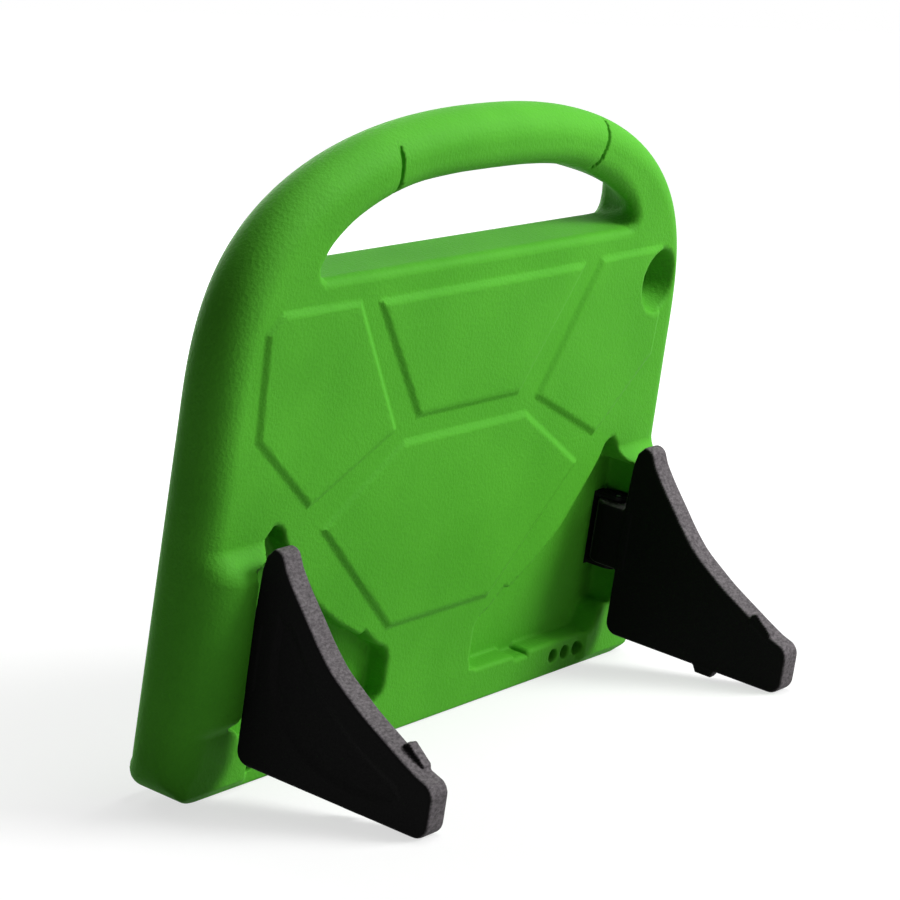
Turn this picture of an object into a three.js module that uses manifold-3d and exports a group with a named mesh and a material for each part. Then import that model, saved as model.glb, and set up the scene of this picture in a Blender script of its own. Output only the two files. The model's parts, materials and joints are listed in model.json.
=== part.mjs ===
// Child's foam tablet case with an arched carrying handle and two fold-out stand legs.
// Millimetres. The case is drawn upright: X runs across it, +Y is its back, where the legs are,
// and +Z is up. It is then leaned back until its lower back edge and the leg tips share one floor.

import * as THREE from 'three';
import { mergeVertices } from 'three/addons/utils/BufferGeometryUtils.js';
import Module from 'manifold-3d';

const wasm = await Module();
wasm.setup();

// Foam body.
const baseWidth = 240;
const sideTaper = 0.018;
const caseDepth = 21;
const shoulderHeight = 110;
const crownHeight = 194.5;
const crownSquareness = 2.28;
const crownFlatness = 3.05;
const baseCornerRadius = 11;
const sideBackFillet = 9;
const sideFrontFillet = 10;
const baseBackFillet = 1.2;
const baseFrontFillet = 5;
const gripBackFillet = 9.5;
const gripFrontFillet = 10.8;

// Finger opening under the handle bar.
const gripBarHeight = 19.3;
const openingBackWidth = 163;
const openingFrontWidth = 174;
const openingSillHeight = 151.4;
const openingSillRise = 1.8;
const openingEndHeight = 3.6;
const openingCornerRadius = 3.4;
const sillBackFillet = 3;
const sillFrontFillet = 5;
const openingBackFillet = 6.5;
const openingFrontFillet = 6.5;
// Arches of the opening at its two faces, from its end to its crown, as shares of half its width
// and of its rise: the ends are fuller at the front.
const openingBackArch = [
  [1, 0],
  [0.93, 0.19],
  [0.85, 0.375],
  [0.72, 0.635],
  [0.6, 0.81],
  [0.46, 0.925],
  [0.23, 0.99],
  [0, 1],
];
const openingFrontArch = [
  [1, 0.1],
  [0.985, 0.3],
  [0.94, 0.41],
  [0.86, 0.52],
  [0.64, 0.71],
  [0.46, 0.87],
  [0.23, 0.975],
  [0, 1],
];

// Tablet that the pocket is made for, and the pocket.
const tabletWidth = 212.5;
const tabletHeight = 124.7;
const tabletThickness = 8;
const tabletCornerRadius = 8;
const pocketClearance = 0.5;
const lipThickness = 2.4;
const lipOverlap = 6;
const pocketBaseWall = 12.3;

// Holes in the back.
const cameraHoleRadius = 10.3;
const cameraFromPocketSide = 6.9;
const cameraFromPocketTop = 6;
const soundHoleRadius = 2.3;
const soundHoleDepth = 7;
const soundHolePitch = 6.9;
const soundHoleCount = 3;
const soundHoleFirst = 72.3;
const soundHoleHeight = 6.5;

// Shallow slot low on the back, with a deeper end.
const slotFrom = -53.3;
const slotTo = -23.5;
const slotDeepTo = -41;
const slotBase = 11.9;
const slotHeight = 3.3;
const slotDepth = 1.3;
const slotDeepDepth = 4.5;

// Raised pads on the back, as corner points [x, z] on the +X half or across the middle.
const padHeight = 0.9;
const sidePadCorners = [
  [98, 143.6],
  [62.9, 143],
  [37.2, 101.4],
  [74.3, 83.9],
  [102, 107.4],
  [103.6, 138.4],
];
const topPadHalfWidthTop = 53;
const topPadHalfWidthBase = 26;
const topPadTop = 142.3;
const topPadBase = 104.2;
const midPadHalfWidth = 66;
const midPadHalfWidthTop = 31.6;
const midPadHalfWidthBase = 26;
const midPadTop = 96.7;
const midPadWaist = 75.3;
const midPadBase = 37.2;

// Stand legs: flat moulded plates, hinged near the sides, with their feet outwards.
const legThickness = 8.4;
const legInnerSet = 6.5;
const legReach = 74;
const legHingeEdge = 5.8;
const legFootHeight = 12.9;
const legApexHeight = 78.6;
const legTipHeight = 17;
const legApexWidth = 8.2;
const legTipRadius = 4.6;
const legApexRadius = 3.6;
const legHeelRadius = 4.2;
// Hollow edge from the apex to the tip, as shares of its run along Y and of its fall.
const legEdgeSag = [
  [0.078, 0.133],
  [0.204, 0.319],
  [0.289, 0.443],
  [0.388, 0.563],
  [0.5, 0.66],
  [0.601, 0.741],
  [0.758, 0.847],
  [0.894, 0.936],
];
const footNubStart = 41;
const footNubLength = 8.2;
const footNubHeight = 2.2;
const footNubSlope = 1.2;
const catchNubStart = 59;
const catchNubLength = 8;
const catchNubHeight = 1.8;
const nubWidth = 3.8;

// Hinges.
const hingeFromSide = 21.2;
const hingeY = -0.7;
const knuckleBase = 35;
const knuckleTop = 56;
const pinRadius = 1.2;
const pinClearance = 0.3;
const pinOverhang = 0.8;
const earThickness = 1.6;
const earGap = 0.4;
const earRadius = 3.2;
const bracketPlate = 0.9;
const bracketClearance = 0.4;
const bracketWidth = 9;
const bracketMargin = 0.4;
const seatGap = 0.3;

// Leg recesses and hinge housings in the foam.
const recessClearance = 1.2;
const recessFloorGap = 0.4;
const swingClearance = 0.6;
const knuckleRoom = 0.7;
const housingBase = 20.5;
const housingTop = 69.5;
const housingProud = 5.2;
const housingFade = 7;
const railProud = 1.5;
const railFillet = 2.5;
const housingInnerSet = 10.8;

// Derived sizes.
const hingeX = baseWidth / 2 - hingeFromSide;
const legInnerFace = hingeX - legInnerSet;
const housingInner = hingeX - housingInnerSet;
const pocketWidth = tabletWidth + 2 * pocketClearance;
const pocketHeight = tabletHeight + 2 * pocketClearance;
const pocketDepth = tabletThickness + pocketClearance;
const pocketTop = pocketBaseWall + pocketHeight;
const pocketCentre = pocketBaseWall + pocketHeight / 2;
const seatY = -caseDepth + lipThickness + pocketDepth;
const openingCrown = crownHeight - gripBarHeight;
const legOuterFace = legInnerFace + legThickness;
// The knuckle ends flush with the leg's inner face and its hinge edge.
const knuckleRadius = hingeX - legInnerFace;
const foldedInnerY = hingeY + legInnerFace - hingeX;
const recessFloorY = foldedInnerY - recessFloorGap;
const foldShift = hingeX + hingeY;

const smooth = (t) => {
  const c = Math.min(1, Math.max(0, t));
  return c * c * (3 - 2 * c);
};

// Arc points from one angle to another, in degrees.
function arc(cx, cy, radius, from, to, steps) {
  const points = [];
  for (let i = 0; i <= steps; i += 1) {
    const a = THREE.MathUtils.degToRad(from + ((to - from) * i) / steps);
    points.push([cx + radius * Math.cos(a), cy + radius * Math.sin(a)]);
  }
  return points;
}

// A closed solid from a geometry, with its shared vertices merged.
function solid(geometry) {
  const bare = geometry.clone();
  bare.deleteAttribute('normal');
  bare.deleteAttribute('uv');
  const merged = mergeVertices(bare, 1e-5);
  return new wasm.Manifold(new wasm.Mesh({
    numProp: 3,
    vertProperties: Float32Array.from(merged.attributes.position.array),
    triVerts: Uint32Array.from(merged.index.array),
  }));
}

// A mesh for the scene from a solid.
function meshOf(name, body, material) {
  const data = body.getMesh();
  const geometry = new THREE.BufferGeometry();
  geometry.setAttribute('position', new THREE.BufferAttribute(data.vertProperties, 3));
  geometry.setIndex(new THREE.BufferAttribute(data.triVerts, 1));
  geometry.computeVertexNormals();
  const mesh = new THREE.Mesh(geometry, material);
  mesh.name = name;
  return mesh;
}

function shapeOf(points) {
  return new THREE.Shape(points.map(([u, v]) => new THREE.Vector2(u, v)));
}

// Prism of an outline in X and Z, between two depths along Y.
function prismY(points, fromY, toY) {
  const geometry = new THREE.ExtrudeGeometry(shapeOf(points), { depth: toY - fromY, bevelEnabled: false });
  geometry.rotateX(Math.PI / 2);
  geometry.translate(0, toY, 0);
  return solid(geometry);
}

// Prism of an outline in X and Y, between two heights.
function prismZ(points, fromZ, toZ) {
  const geometry = new THREE.ExtrudeGeometry(shapeOf(points), { depth: toZ - fromZ, bevelEnabled: false });
  geometry.translate(0, 0, fromZ);
  return solid(geometry);
}

// Prism of an outline in Y and Z, between two places across the case.
function prismX(points, fromX, toX) {
  const geometry = new THREE.ExtrudeGeometry(shapeOf(points), { depth: toX - fromX, bevelEnabled: false });
  geometry.rotateX(Math.PI / 2);
  geometry.rotateZ(Math.PI / 2);
  geometry.translate(fromX, 0, 0);
  return solid(geometry);
}

function box(fromX, toX, fromY, toY, fromZ, toZ) {
  const geometry = new THREE.BoxGeometry(toX - fromX, toY - fromY, toZ - fromZ);
  geometry.translate((fromX + toX) / 2, (fromY + toY) / 2, (fromZ + toZ) / 2);
  return solid(geometry);
}

function cylinderZ(x, y, radius, fromZ, toZ, segments) {
  const geometry = new THREE.CylinderGeometry(radius, radius, toZ - fromZ, segments);
  geometry.rotateX(Math.PI / 2);
  geometry.translate(x, y, (fromZ + toZ) / 2);
  return solid(geometry);
}

function cylinderY(x, z, radius, fromY, toY, segments) {
  const geometry = new THREE.CylinderGeometry(radius, radius, toY - fromY, segments);
  geometry.translate(x, (fromY + toY) / 2, z);
  return solid(geometry);
}

function mirrored(body) {
  return body.mirror([1, 0, 0]);
}

function roundedRectangle(centreX, centreZ, width, height, radius, steps) {
  const x = width / 2 - radius;
  const z = height / 2 - radius;
  return [
    ...arc(centreX + x, centreZ - z, radius, -90, 0, steps),
    ...arc(centreX + x, centreZ + z, radius, 0, 90, steps),
    ...arc(centreX - x, centreZ + z, radius, 90, 180, steps),
    ...arc(centreX - x, centreZ - z, radius, 180, 270, steps),
  ];
}

// Outward normals of a closed outline that runs counter-clockwise.
function outlineNormals(points) {
  return points.map((point, i) => {
    const before = points[(i + points.length - 1) % points.length];
    const after = points[(i + 1) % points.length];
    const du = after[0] - before[0];
    const dv = after[1] - before[1];
    const length = Math.hypot(du, dv);
    return [dv / length, -du / length];
  });
}

// Closed skin through equal rings of points: the first and last rings are capped flat.
function ringSolid(rings) {
  const count = rings[0].length;
  const positions = rings.flat(2);
  const index = [];
  for (let r = 0; r < rings.length - 1; r += 1) {
    for (let i = 0; i < count; i += 1) {
      const j = (i + 1) % count;
      const a = r * count + i;
      const b = r * count + j;
      const c = (r + 1) * count + j;
      const d = (r + 1) * count + i;
      index.push(a, c, b, a, d, c);
    }
  }
  const cap = (ring, offset, flip) => {
    const flat = ring.map(([x, , z]) => new THREE.Vector2(x, z));
    THREE.ShapeUtils.triangulateShape(flat, []).forEach(([a, b, c]) => {
      if (flip) {
        index.push(offset + a, offset + c, offset + b);
      } else {
        index.push(offset + a, offset + b, offset + c);
      }
    });
  };
  cap(rings[0], 0, false);
  cap(rings[rings.length - 1], (rings.length - 1) * count, true);
  const geometry = new THREE.BufferGeometry();
  geometry.setAttribute('position', new THREE.Float32BufferAttribute(positions, 3));
  geometry.setIndex(index);
  return solid(geometry);
}

// Plate with rounded edges: its outline is drawn in at the front and back faces by the fillets.
function filletedPlate(points, frontY, backY, frontFillets, backFillets, steps) {
  const normals = outlineNormals(points);
  const ring = (angle, fillets, sign, faceY) => points.map(([x, z], i) => {
    const inset = fillets[i] * (1 - Math.cos(angle));
    const y = faceY - sign * fillets[i] * (1 - Math.sin(angle));
    return [x - normals[i][0] * inset, y, z - normals[i][1] * inset];
  });
  const rings = [];
  for (let k = steps; k >= 0; k -= 1) {
    rings.push(ring((k / steps) * (Math.PI / 2), frontFillets, -1, frontY));
  }
  for (let k = 0; k <= steps; k += 1) {
    rings.push(ring((k / steps) * (Math.PI / 2), backFillets, 1, backY));
  }
  return ringSolid(rings);
}

// Cutter for an opening whose rims are rounded over: it flares towards both faces. Its outline
// changes from the front one to the back one between the two rims.
function flaredCutter(front, back, steps, over) {
  const ring = (angle, face, sign, beyond) => {
    const normals = outlineNormals(face.points);
    return face.points.map(([x, z], i) => {
      const outset = face.fillets[i] * (1 - Math.cos(angle));
      const y = face.y - sign * (face.fillets[i] * (1 - Math.sin(angle)) - beyond);
      return [x + normals[i][0] * outset, y, z + normals[i][1] * outset];
    });
  };
  const skim = 0.01;
  const rings = [];
  rings.push(ring(Math.PI / 2, front, -1, over));
  for (let k = steps; k >= 0; k -= 1) {
    rings.push(ring((k / steps) * (Math.PI / 2), front, -1, skim));
  }
  for (let k = 0; k <= steps; k += 1) {
    rings.push(ring((k / steps) * (Math.PI / 2), back, 1, skim));
  }
  rings.push(ring(Math.PI / 2, back, 1, over));
  return ringSolid(rings);
}

// Case outline, counter-clockwise seen from the front: base corners, tapering sides, arch.
function caseOutline() {
  const halfBase = baseWidth / 2;
  const halfShoulder = halfBase - sideTaper * shoulderHeight;
  const rise = crownHeight - shoulderHeight;
  const right = arc(halfBase - baseCornerRadius, baseCornerRadius, baseCornerRadius, -90, 0, 6);
  const sideSteps = 5;
  for (let i = 1; i < sideSteps; i += 1) {
    const z = baseCornerRadius + ((shoulderHeight - baseCornerRadius) * i) / sideSteps;
    right.push([halfBase - sideTaper * z, z]);
  }
  const archSteps = 22;
  for (let i = 0; i < archSteps; i += 1) {
    const t = (i / archSteps) * (Math.PI / 2);
    right.push([
      halfShoulder * Math.cos(t) ** (2 / crownSquareness),
      shoulderHeight + rise * Math.sin(t) ** (2 / crownFlatness),
    ]);
  }
  const left = right.map(([x, z]) => [-x, z]).reverse();
  return [...right, [0, crownHeight], ...left];
}

function openingOutline(width, shape, sill) {
  const half = width / 2;
  const spring = sill + openingEndHeight;
  const rise = openingCrown - spring;
  const r = openingCornerRadius;
  const arch = new THREE.SplineCurve(shape.map(([u, v]) => (
    new THREE.Vector2(half * u, spring + rise * v)
  ))).getSpacedPoints(18).map((p) => [p.x, p.y]);
  const right = [...arc(half - r, sill + r, r, -90, 0, 4), ...arch];
  const left = right.slice(0, -1).map(([x, z]) => [-x, z]).reverse();
  return [...right, ...left];
}

// Fillet for each outline point: one size where it faces down, one at the sides, one over the arch.
function caseFillets(points, base, side, grip) {
  const normals = outlineNormals(points);
  return points.map(([, z], i) => {
    const down = smooth((-normals[i][1] - 0.1) / 0.8);
    const over = smooth((z - shoulderHeight) / (openingSillHeight - shoulderHeight));
    return base * down + (1 - down) * (side + (grip - side) * over);
  });
}

function openingFillets(points, sill, rim) {
  const normals = outlineNormals(points);
  return points.map((point, i) => {
    const down = smooth((-normals[i][1] - 0.1) / 0.8);
    return sill * down + rim * (1 - down);
  });
}

// Side view of a leg, [y, z]: straight foot and hinge edges and a hollow edge between them.
function legProfile(grow) {
  const heel = legHingeEdge;
  const apexY = heel + legApexWidth;
  const tipTop = legFootHeight + legTipHeight;
  const tip = arc(
    legReach - legTipRadius,
    legFootHeight + legTipRadius,
    legTipRadius + grow,
    -90,
    0,
    5,
  );
  const tipUpper = arc(
    legReach - legTipRadius,
    tipTop - legTipRadius,
    legTipRadius + grow,
    0,
    62,
    4,
  );
  const runStart = [apexY, legApexHeight - legApexRadius];
  const runEnd = [legReach - legTipRadius, tipTop];
  const run = runEnd[0] - runStart[0];
  const fall = runStart[1] - runEnd[1];
  const hollow = legEdgeSag.map(([u, v]) => [runStart[0] + run * u, runStart[1] - fall * v]).reverse();
  const hollowNormals = hollow.map((point, i) => {
    const before = i === 0 ? runEnd : hollow[i - 1];
    const after = i === hollow.length - 1 ? runStart : hollow[i + 1];
    const dy = after[0] - before[0];
    const dz = after[1] - before[1];
    const length = Math.hypot(dy, dz);
    return [dz / length, -dy / length];
  });
  const edge = hollow.map(([y, z], i) => [y + hollowNormals[i][0] * grow, z + hollowNormals[i][1] * grow]);
  const apex = arc(apexY - legApexRadius, legApexHeight - legApexRadius, legApexRadius + grow, 20, 100, 5);
  const heelTop = [
    [heel + legApexRadius * 0.45 - grow * 0.8, legApexHeight - legApexRadius * 0.75 + grow * 0.6],
    [heel + 0.6 - grow, legApexHeight - legApexRadius * 2],
    [heel - grow, housingTop - 3 * legApexRadius],
  ];
  const heelBase = arc(heel + legHeelRadius, legFootHeight + legHeelRadius, legHeelRadius + grow, 180, 270, 4);
  return [...tip, ...tipUpper, ...edge, ...apex, ...heelTop, ...heelBase];
}

function footNubProfile(grow) {
  const z = legFootHeight;
  return [
    [footNubStart - grow, z + 1],
    [footNubStart - grow, z],
    [footNubStart + footNubSlope - grow, z - footNubHeight - grow],
    [footNubStart + footNubLength - footNubSlope + grow, z - footNubHeight - grow],
    [footNubStart + footNubLength + grow, z],
    [footNubStart + footNubLength + grow, z + 1],
  ];
}

// Height of the hollow edge above a place along the leg.
function hollowEdgeHeight(y) {
  const profile = legProfile(0);
  let height = 0;
  for (let i = 0; i < profile.length - 1; i += 1) {
    const [y0, z0] = profile[i];
    const [y1, z1] = profile[i + 1];
    if (y0 > y1 && y <= y0 && y >= y1) {
      height = Math.max(height, z0 + ((z1 - z0) * (y - y0)) / (y1 - y0));
    }
  }
  return height;
}

function catchNubProfile(grow) {
  const end = catchNubStart + catchNubLength;
  const startZ = hollowEdgeHeight(catchNubStart);
  const endZ = hollowEdgeHeight(end);
  return [
    [catchNubStart - grow, startZ - 2],
    [end + grow, endZ - 2],
    [end + grow, endZ + catchNubHeight * 0.6 + grow],
    [catchNubStart + 2 + grow, startZ + catchNubHeight + grow],
    [catchNubStart - grow, startZ + catchNubHeight * 0.5 + grow],
  ];
}

// Smooth swelling of the recess that leaves room for the catch nub.
function catchRoomProfile() {
  const end = catchNubStart + catchNubLength;
  const grow = recessClearance * 0.4;
  const before = catchNubStart - catchNubLength;
  return [
    [before, hollowEdgeHeight(before) - 2],
    [legReach - legTipRadius, legFootHeight + legTipRadius],
    [legReach - legTipRadius, legFootHeight + legTipHeight + recessClearance],
    [end + grow, hollowEdgeHeight(end) + catchNubHeight * 0.6 + grow],
    [catchNubStart + 2 + grow, hollowEdgeHeight(catchNubStart) + catchNubHeight + grow],
    [catchNubStart - grow, hollowEdgeHeight(catchNubStart) + catchNubHeight * 0.5 + grow],
    [before, hollowEdgeHeight(before) + recessClearance],
  ];
}

// A leg profile as the outline it has when folded flat against the back, [x, z].
function folded(profile) {
  return profile.map(([y, z]) => [foldShift - y, z]).reverse();
}

function legSolid() {
  let leg = prismX(legProfile(0), legInnerFace, legOuterFace);
  leg = leg.add(prismX(footNubProfile(0), legInnerFace, legInnerFace + nubWidth));
  leg = leg.add(prismX(catchNubProfile(0), legInnerFace, legInnerFace + nubWidth));
  const round = cylinderZ(hingeX, hingeY, knuckleRadius, knuckleBase, knuckleTop, 56);
  const beyond = box(
    legOuterFace,
    hingeX + knuckleRadius + 1,
    hingeY - knuckleRadius - 1,
    hingeY + knuckleRadius + 1,
    knuckleBase - 1,
    knuckleTop + 1,
  );
  leg = leg.add(round.subtract(beyond));
  leg = leg.add(box(
    legInnerFace,
    legOuterFace,
    hingeY,
    legHingeEdge + 1,
    knuckleBase,
    knuckleTop,
  ));
  const bore = pinRadius + pinClearance;
  return leg.subtract(cylinderZ(hingeX, hingeY, bore, knuckleBase - 1, knuckleTop + 1, 32));
}

function bracketSolid() {
  const plateTop = hingeY - knuckleRadius - bracketClearance;
  const plateBase = plateTop - bracketPlate;
  const fromX = hingeX - bracketWidth / 2;
  const lowerEar = knuckleBase - earGap - earThickness;
  const upperEar = knuckleTop + earGap;
  let bracket = box(
    fromX,
    fromX + bracketWidth,
    plateBase,
    plateTop,
    lowerEar - bracketMargin,
    upperEar + earThickness + bracketMargin,
  );
  [lowerEar, upperEar].forEach((z) => {
    bracket = bracket.add(cylinderZ(hingeX, hingeY, earRadius, z, z + earThickness, 40));
    bracket = bracket.add(box(
      hingeX - earRadius,
      hingeX + earRadius,
      plateTop - 0.5,
      hingeY,
      z,
      z + earThickness,
    ));
  });
  const bore = pinRadius + pinClearance;
  return bracket.subtract(cylinderZ(hingeX, hingeY, bore, lowerEar - 1, upperEar + earThickness + 1, 32));
}

function pinSolid() {
  const from = knuckleBase - earGap - earThickness - pinOverhang;
  const to = knuckleTop + earGap + earThickness + pinOverhang;
  return cylinderZ(hingeX, hingeY, pinRadius, from, to, 32);
}

// Housing that stands proud of the back around one hinge, with the rounded side of the case.
function housingSolid(outline, frontFillets) {
  const side = sideBackFillet + housingProud;
  const backFillets = caseFillets(outline, baseBackFillet, side, side);
  const profile = [
    [-caseDepth / 2, baseCornerRadius * 0.1],
    [railProud - railFillet, 0.01],
    ...arc(railProud - railFillet, railFillet, railFillet, -75, 0, 4),
    [railProud, housingBase - 1],
    [housingProud - 0.6, housingBase + housingFade],
    [housingProud, housingBase + housingFade * 2],
    [housingProud, housingTop - 4],
    [housingProud - 0.9, housingTop],
    [housingProud - 2.6, housingTop + housingFade * 0.5],
    [0, housingTop + housingFade],
    [-caseDepth / 2, housingTop + housingFade],
  ];
  const band = prismX(profile, housingInner, baseWidth / 2 + 1);
  const envelope = filletedPlate(outline, -caseDepth, housingProud, frontFillets, backFillets, 5);
  return band.intersect(envelope);
}

// Room that one leg sweeps between its folded and open places, and its recess.
function legRoom() {
  const over = housingProud + 3;
  let room = prismY(folded(legProfile(recessClearance)), recessFloorY, over);
  room = room.add(prismY(folded(footNubProfile(recessClearance * 0.5)), recessFloorY, over));
  room = room.add(prismY(folded(catchRoomProfile()), recessFloorY, over));
  const clearRadius = legHingeEdge - hingeY - swingClearance;
  const swing = [
    ...arc(hingeX, hingeY, clearRadius, 78, 180, 10),
    [hingeX - clearRadius, recessFloorY],
    [housingInner, recessFloorY],
    [housingInner, over],
    [legOuterFace + recessClearance, over],
    [legOuterFace + recessClearance, hingeY + clearRadius * 0.98],
  ];
  room = room.add(prismZ(swing, legFootHeight - recessClearance, legApexHeight - legApexRadius));
  room = room.add(box(
    housingInner,
    legOuterFace + recessClearance,
    recessFloorY,
    over,
    housingBase,
    housingTop,
  ));
  const pocketFromX = hingeX - bracketWidth / 2 - seatGap;
  const margin = earGap + earThickness + bracketMargin + seatGap;
  const fromZ = knuckleBase - margin;
  const toZ = knuckleTop + margin;
  const plateTop = hingeY - knuckleRadius - bracketClearance;
  const seatBase = plateTop - bracketPlate - seatGap;
  const plateEnd = hingeX + bracketWidth / 2 + seatGap;
  room = room.add(box(pocketFromX, plateEnd, seatBase, hingeY, fromZ, toZ));
  const turn = cylinderZ(hingeX, hingeY, knuckleRadius + knuckleRoom, fromZ, toZ, 56);
  const roof = box(
    legOuterFace + recessClearance,
    hingeX + knuckleRadius + knuckleRoom + 1,
    hingeY + legOuterFace - hingeX + knuckleRoom,
    hingeY + knuckleRadius + knuckleRoom + 1,
    fromZ - 1,
    toZ + 1,
  );
  return room.add(turn.subtract(roof));
}

function mirroredCorners(points) {
  return points.map(([x, z]) => [-x, z]).reverse();
}

function counterClockwise(points) {
  const area = points.reduce((sum, [x, z], i) => {
    const [nx, nz] = points[(i + 1) % points.length];
    return sum + x * nz - nx * z;
  }, 0);
  return area > 0 ? points : [...points].reverse();
}

function padSolids() {
  const topPad = [
    [-topPadHalfWidthBase, topPadBase],
    [topPadHalfWidthBase, topPadBase],
    [topPadHalfWidthTop, topPadTop],
    [-topPadHalfWidthTop, topPadTop],
  ];
  const midPad = [
    [-midPadHalfWidthBase, midPadBase],
    [midPadHalfWidthBase, midPadBase],
    [midPadHalfWidth, midPadWaist],
    [midPadHalfWidthTop, midPadTop],
    [-midPadHalfWidthTop, midPadTop],
    [-midPadHalfWidth, midPadWaist],
  ];
  return [sidePadCorners, mirroredCorners(sidePadCorners), topPad, midPad]
    .map((corners) => prismY(counterClockwise(corners), -1, padHeight));
}

function foamSolid() {
  const outline = caseOutline();
  const frontFillets = caseFillets(outline, baseFrontFillet, sideFrontFillet, gripFrontFillet);
  const backFillets = caseFillets(outline, baseBackFillet, sideBackFillet, gripBackFillet);
  let foam = filletedPlate(outline, -caseDepth, 0, frontFillets, backFillets, 6);
  const housing = housingSolid(outline, frontFillets);
  foam = foam.add(housing).add(mirrored(housing));
  padSolids().forEach((pad) => {
    foam = foam.add(pad);
  });

  const frontOpening = openingOutline(
    openingFrontWidth,
    openingFrontArch,
    openingSillHeight + openingSillRise,
  );
  const backOpening = openingOutline(openingBackWidth, openingBackArch, openingSillHeight);
  foam = foam.subtract(flaredCutter(
    {
      points: frontOpening,
      fillets: openingFillets(frontOpening, sillFrontFillet, openingFrontFillet),
      y: -caseDepth,
    },
    {
      points: backOpening,
      fillets: openingFillets(backOpening, sillBackFillet, openingBackFillet),
      y: 0,
    },
    6,
    3,
  ));

  const pocket = roundedRectangle(0, pocketCentre, pocketWidth, pocketHeight, tabletCornerRadius, 6);
  foam = foam.subtract(prismY(pocket, -caseDepth + lipThickness, seatY));
  const screen = roundedRectangle(
    0,
    pocketCentre,
    pocketWidth - 2 * lipOverlap,
    pocketHeight - 2 * lipOverlap,
    tabletCornerRadius - 2,
    6,
  );
  foam = foam.subtract(prismY(screen, -caseDepth - 1, -caseDepth + lipThickness + 1));

  const cameraX = -(pocketWidth / 2 - cameraFromPocketSide);
  const cameraZ = pocketTop - cameraFromPocketTop;
  foam = foam.subtract(cylinderY(cameraX, cameraZ, cameraHoleRadius, seatY, 2, 40));

  const room = legRoom();
  foam = foam.subtract(room).subtract(mirrored(room));

  for (let i = 0; i < soundHoleCount; i += 1) {
    const x = soundHoleFirst + i * soundHolePitch;
    const hole = cylinderY(x, soundHoleHeight, soundHoleRadius, railProud - soundHoleDepth, railProud + 1, 16);
    foam = foam.subtract(hole).subtract(mirrored(hole));
  }
  const slotTop = slotBase + slotHeight;
  foam = foam.subtract(box(slotFrom, slotTo, -slotDepth, padHeight + 1, slotBase, slotTop));
  return foam.subtract(box(slotFrom, slotDeepTo, -slotDeepDepth, padHeight + 1, slotBase, slotTop));
}

const foamMaterial = () => new THREE.MeshStandardMaterial({ color: 0x4fae30, roughness: 0.75, metalness: 0 });
const legMaterial = () => new THREE.MeshStandardMaterial({ color: 0x101112, roughness: 0.55, metalness: 0 });
const bracketMaterial = () => new THREE.MeshStandardMaterial({ color: 0x141516, roughness: 0.5, metalness: 0 });
const pinMaterial = () => new THREE.MeshStandardMaterial({ color: 0xb8babd, roughness: 0.3, metalness: 1 });

const upright = new THREE.Group();
upright.add(meshOf('foam_case', foamSolid(), foamMaterial()));
const leg = legSolid();
const bracket = bracketSolid();
const pin = pinSolid();
upright.add(meshOf('left_leg', leg, legMaterial()));
upright.add(meshOf('right_leg', mirrored(leg), legMaterial()));
upright.add(meshOf('left_hinge_bracket', bracket, bracketMaterial()));
upright.add(meshOf('right_hinge_bracket', mirrored(bracket), bracketMaterial()));
upright.add(meshOf('left_hinge_pin', pin, pinMaterial()));
upright.add(meshOf('right_hinge_pin', mirrored(pin), pinMaterial()));

// Lean: the floor touches the rounded lower back edge and the rounded lower corner of each leg tip.
function leanOver(radius, proud) {
  const runY = legReach - legTipRadius - (proud - radius);
  const runZ = legFootHeight + legTipRadius - radius;
  return Math.atan2(runZ, runY) - Math.asin((legTipRadius - radius) / Math.hypot(runY, runZ));
}
const lean = Math.max(leanOver(baseBackFillet, 0), leanOver(railFillet, railProud));
upright.rotation.x = -lean;

const group = new THREE.Group();
group.add(upright);
group.updateMatrixWorld(true);
const bounds = new THREE.Box3().setFromObject(group, true);
upright.position.x = -(bounds.min.x + bounds.max.x) / 2;
upright.position.y = -(bounds.min.y + bounds.max.y) / 2;
upright.position.z = -bounds.min.z;
group.updateMatrixWorld(true);

export default group;
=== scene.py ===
"""Child's foam tablet case with an arched handle and two fold-out stand legs.

The foam case and the legs are drawn as distance fields in the upright frame of the case, in
millimetres: X runs across it, +Y is its back and +Z is up. A net of quads is laid over each field
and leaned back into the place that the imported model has.
"""

import json
import logging
import math
from dataclasses import dataclass, field
from enum import Enum
from functools import partial
from typing import Any, Callable, Sequence

import bmesh
import bpy
import numpy as np
from mathutils import Matrix, Vector


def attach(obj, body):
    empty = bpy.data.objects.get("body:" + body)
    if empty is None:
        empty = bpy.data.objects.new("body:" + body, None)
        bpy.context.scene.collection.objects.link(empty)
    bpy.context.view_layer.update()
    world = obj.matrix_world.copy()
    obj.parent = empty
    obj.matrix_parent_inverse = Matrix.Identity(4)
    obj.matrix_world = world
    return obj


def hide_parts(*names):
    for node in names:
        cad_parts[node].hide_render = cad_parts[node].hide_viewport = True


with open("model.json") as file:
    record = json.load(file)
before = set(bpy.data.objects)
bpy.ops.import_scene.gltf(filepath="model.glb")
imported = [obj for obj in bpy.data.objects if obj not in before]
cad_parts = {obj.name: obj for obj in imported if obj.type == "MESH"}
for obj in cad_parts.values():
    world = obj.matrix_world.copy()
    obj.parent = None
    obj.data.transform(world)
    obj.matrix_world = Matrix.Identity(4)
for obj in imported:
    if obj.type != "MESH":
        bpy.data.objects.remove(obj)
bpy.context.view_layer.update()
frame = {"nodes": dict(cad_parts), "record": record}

MM = 0.001
METRE = 1.0 / MM
Field = np.ndarray
Point = tuple[float, float]
Place = tuple[float, float, float]  # Also three sizes that belong together.
Tree = bpy.types.NodeTree
Adder = Callable[..., bpy.types.Node]
Feed = Any  # An output socket, or a node that stands for its first output.
Finish = bpy.types.Material
Piece = bpy.types.Object
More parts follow.
